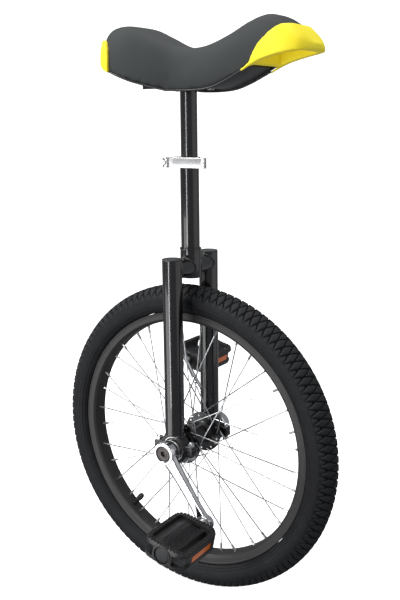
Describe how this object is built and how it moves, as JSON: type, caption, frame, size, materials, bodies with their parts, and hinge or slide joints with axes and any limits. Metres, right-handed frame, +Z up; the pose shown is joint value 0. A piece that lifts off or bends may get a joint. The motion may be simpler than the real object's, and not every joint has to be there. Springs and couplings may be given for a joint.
{
  "type": "unicycle",
  "caption": "Unicycle with a spoked wheel, cranks and pedals on its hub, a tubular fork and a curved saddle on a quick-release post.",
  "frame": {"origin": "on the ground under the wheel's centre, at the middle of the tyre's lowest facet", "axes": "+X forward, towards the saddle's hollow front bumper; +Y towards the rider's left, along the axle; +Z up"},
  "size_m": [0.504, 0.391, 0.893],
  "materials": {
    "black_paint": "gloss",
    "black_plastic": "satin",
    "cast_black": "satin",
    "bearing_steel": "satin",
    "chrome": "polished",
    "dark_steel": "satin",
    "anodised": "satin",
    "tyre_rubber": "matte",
    "saddle_cover": "matte",
    "yellow_plastic": "gloss",
    "orange_plastic": "gloss"
  },
  "bodies": {
    "frame": {"bearing_cap_left": "cast_black", "bearing_cap_right": "cast_black", "bearing_outer_ring_left": "bearing_steel", "bearing_outer_ring_right": "bearing_steel", "bearing_seat_left": "cast_black", "bearing_seat_right": "cast_black", "cap_bolt_left_front": "chrome", "cap_bolt_left_rear": "chrome", "cap_bolt_right_front": "chrome", "cap_bolt_right_rear": "chrome", "cap_nut_left_front": "chrome", "cap_nut_left_rear": "chrome", "cap_nut_right_front": "chrome", "cap_nut_right_rear": "chrome", "clamp_barrel": "bearing_steel", "clamp_bolt": "bearing_steel", "clamp_collar": "chrome", "crown_sleeve": "black_paint", "crown_tube_left": "black_paint", "crown_tube_right": "black_paint", "leg_cap_left": "black_plastic", "leg_cap_right": "black_plastic", "leg_left": "black_paint", "leg_right": "black_paint", "seat_tube": "black_paint"},
    "lever": {"clamp_lever": "chrome"},
    "balls_right": {"bearing_balls_right": "bearing_steel"},
    "balls_left": {"bearing_balls_left": "bearing_steel"},
    "wheel": {"bearing_inner_ring_left": "bearing_steel", "bearing_inner_ring_right": "bearing_steel", "crank_bolt_left": "dark_steel", "crank_bolt_right": "dark_steel", "crank_left": "chrome", "crank_right": "chrome", "hub": "cast_black", "inner_tube": "tyre_rubber", "pedal_spindle_left": "bearing_steel", "pedal_spindle_right": "bearing_steel", "rim": "anodised", "spokes_left": "bearing_steel", "spokes_right": "bearing_steel", "tyre": "tyre_rubber", "valve_cap": "black_plastic"},
    "pedal_right": {"pedal_body_right": "black_plastic", "pedal_cap_right": "black_plastic", "pedal_reflector_right_front": "orange_plastic", "pedal_reflector_right_rear": "orange_plastic"},
    "pedal_left": {"pedal_body_left": "black_plastic", "pedal_cap_left": "black_plastic", "pedal_reflector_left_front": "orange_plastic", "pedal_reflector_left_rear": "orange_plastic"},
    "seat": {"front_bumper": "yellow_plastic", "rear_bumper": "yellow_plastic", "saddle_base": "black_plastic", "saddle_cushion": "saddle_cover", "saddle_nut_1": "bearing_steel", "saddle_nut_2": "bearing_steel", "saddle_nut_3": "bearing_steel", "saddle_nut_4": "bearing_steel", "seat_post": "black_paint"}
  },
  "joints": [
    {"name": "wheel_spin", "type": "hinge", "parent": "frame", "child": "wheel", "pos_m": [0, 0, 0.252], "axis": [0, 1, 0], "continuous": true},
    {"name": "balls_right_spin", "type": "hinge", "parent": "frame", "child": "balls_right", "pos_m": [0, -0.05, 0.252], "axis": [0, 1, 0], "continuous": true},
    {"name": "balls_left_spin", "type": "hinge", "parent": "frame", "child": "balls_left", "pos_m": [0, 0.05, 0.252], "axis": [0, 1, 0], "continuous": true},
    {"name": "pedal_right_spin", "type": "hinge", "parent": "wheel", "child": "pedal_right", "pos_m": [0.07633, -0.148, 0.15941], "axis": [0, 1, 0], "continuous": true},
    {"name": "pedal_left_spin", "type": "hinge", "parent": "wheel", "child": "pedal_left", "pos_m": [-0.07633, 0.148, 0.34459], "axis": [0, 1, 0], "continuous": true},
    {"name": "clamp_lever_open", "type": "hinge", "parent": "frame", "child": "lever", "pos_m": [-0.026, -0.0205, 0.6915], "axis": [0, 0, -1], "range_deg": [0, 170]},
    {"name": "seat_height", "type": "slide", "parent": "frame", "child": "seat", "axis": [0, 0, 1], "range_m": [-0.08, 0.035]}
  ],
  "couplings": [
    {"joint": "balls_right_spin", "follows": "wheel_spin", "ratio": 0.4241},
    {"joint": "balls_left_spin", "follows": "wheel_spin", "ratio": 0.4241}
  ]
}
